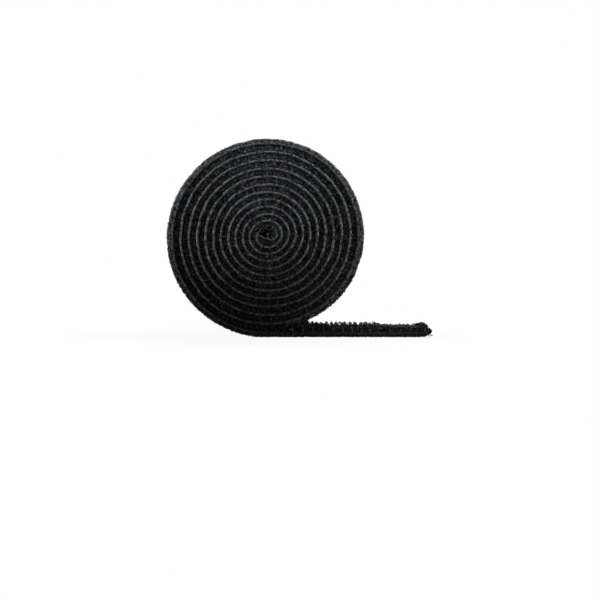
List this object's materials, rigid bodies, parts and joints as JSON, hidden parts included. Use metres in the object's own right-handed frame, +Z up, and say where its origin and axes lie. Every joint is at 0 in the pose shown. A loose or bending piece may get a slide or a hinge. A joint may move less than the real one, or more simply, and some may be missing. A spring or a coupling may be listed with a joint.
{
  "type": "hook and loop tape roll",
  "caption": "Roll of black back-to-back hook and loop fastening tape, wound on itself without a core, loop side out, its free end laid out flat with the hooks up.",
  "frame": {"origin": "middle of the flat on the rim that the roll stands on, midway across the tape's width", "axes": "+X along the free end, away from the roll; +Y along the roll's axis, away from the viewer of the picture; +Z up"},
  "size_m": [0.0691, 0.02, 0.0519],
  "materials": {
    "loop_pile": "brushed nylon loop pile, matt",
    "hook_weave": "woven nylon with monofilament hooks, slightly glossy",
    "bond_film": "thin hot-melt film"
  },
  "bodies": {
    "roll": {"wound_loop_tape": "loop_pile", "wound_bond_film": "bond_film", "wound_hook_tape": "hook_weave"},
    "free_end": {"free_end_loop_tape": "loop_pile", "free_end_bond_film": "bond_film", "free_end_hook_tape": "hook_weave"}
  },
  "joints": [
    {"name": "free_end_lift", "type": "hinge", "parent": "roll", "child": "free_end", "pos_m": [0.0139, 0, 0.00137], "axis": [0, -1, 0], "range_deg": [-15, 50], "stiffness_Nm_per_rad": 0.002}
  ]
}
